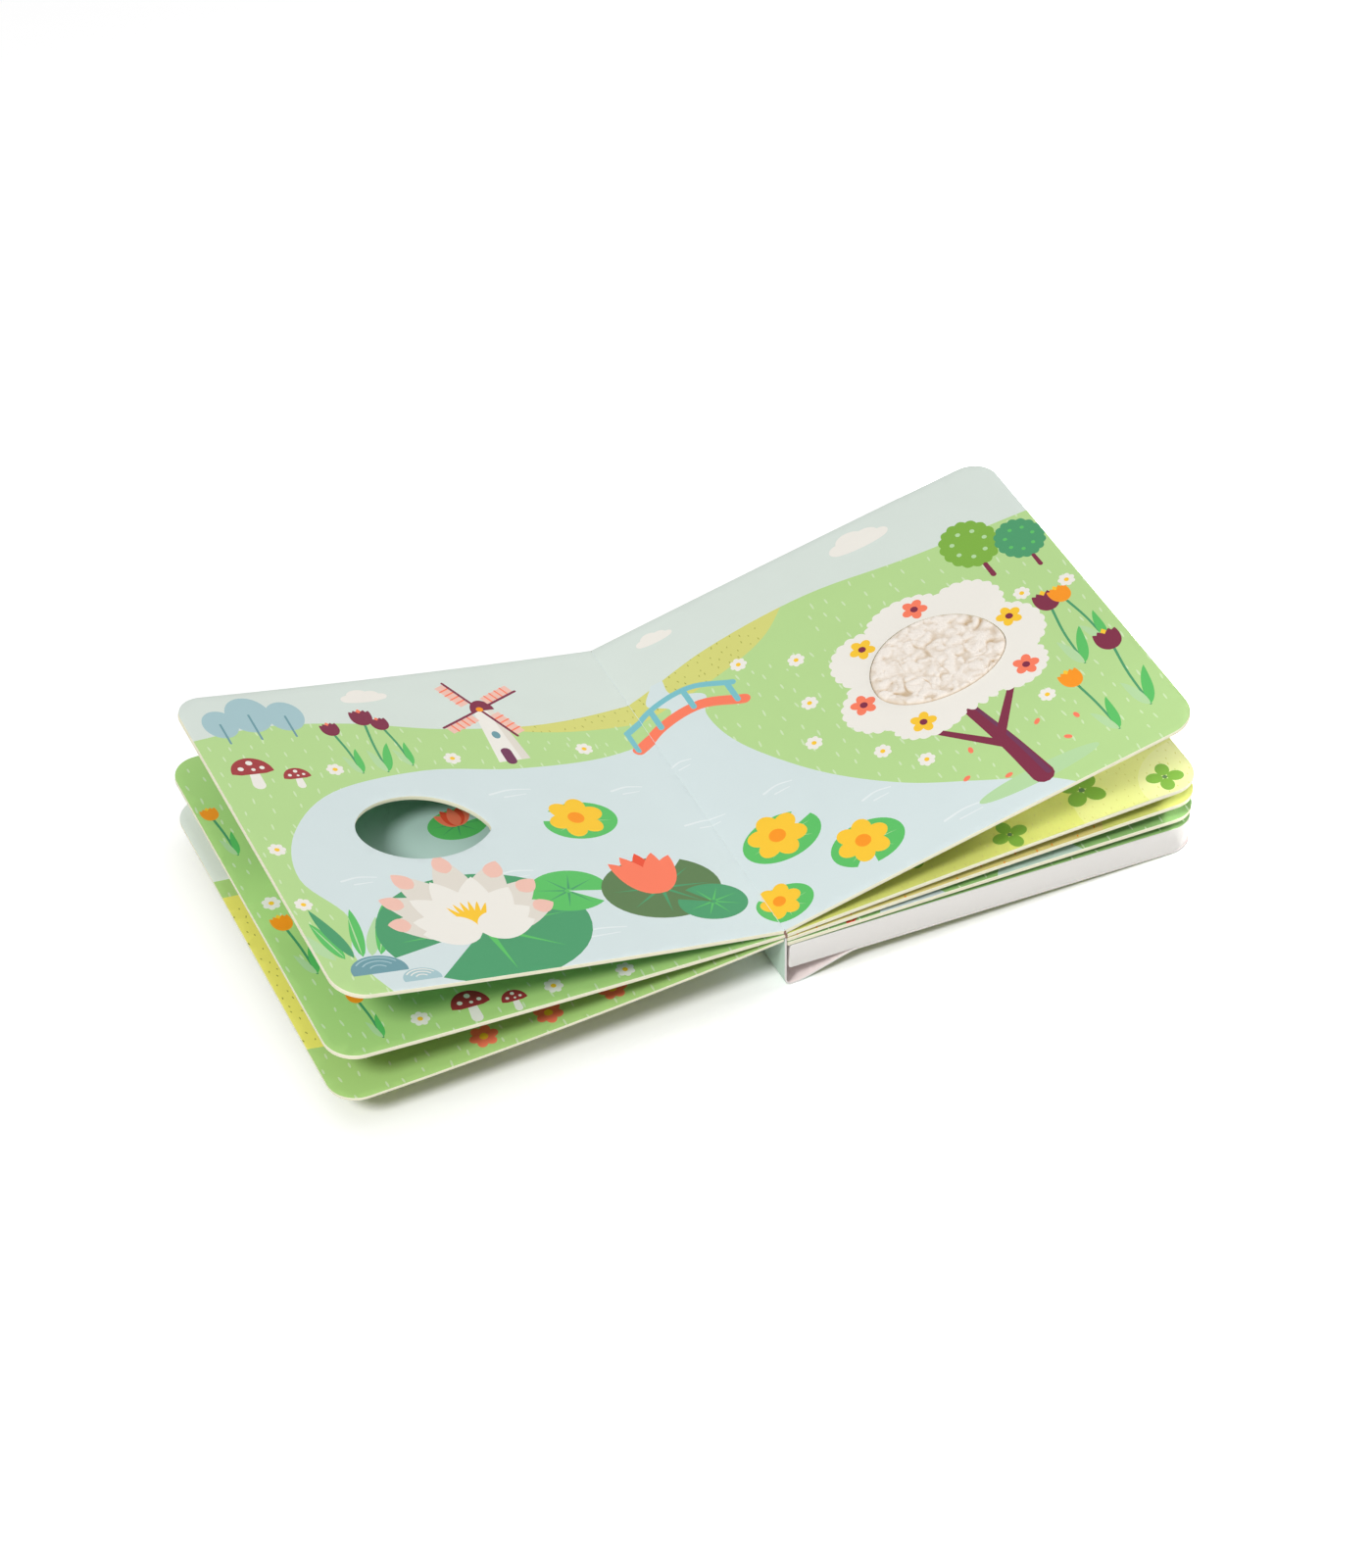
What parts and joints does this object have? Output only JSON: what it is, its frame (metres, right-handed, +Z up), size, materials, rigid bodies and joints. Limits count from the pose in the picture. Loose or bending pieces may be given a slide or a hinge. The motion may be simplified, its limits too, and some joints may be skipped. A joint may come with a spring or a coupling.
{
  "type": "tactile board book",
  "caption": "Touch-and-feel board book lying open, with fanned card leaves, a teardrop peep-hole, a fleece patch in an oval window, a thick back board and a folded card spine.",
  "frame": {"origin": "on the table, under the middle of the gutter", "axes": "+X from the left pages to the right ones, +Y along the gutter from tail to head, +Z up from the table"},
  "size_m": [0.3597, 0.178, 0.07],
  "materials": {
    "pages": "satin printed card with pale cut edges",
    "fleece_patch": "clumpy cream fleece pile",
    "front_cover": "satin printed card",
    "back_board": "matte white board",
    "spine_and_back_cover": "satin mint card outside, pale inside"
  },
  "bodies": {
    "book": {"pages": "pages", "fleece_patch": "fleece_patch", "back_board": "back_board", "spine_and_back_cover": "spine_and_back_cover"},
    "front_cover": {"front_cover": "front_cover"}
  },
  "joints": [
    {"name": "front_cover_hinge", "type": "hinge", "parent": "book", "child": "front_cover", "pos_m": [-0.001, 0, 0.0244], "axis": [0, 1, 0], "range_deg": [-4.8, 6]}
  ]
}
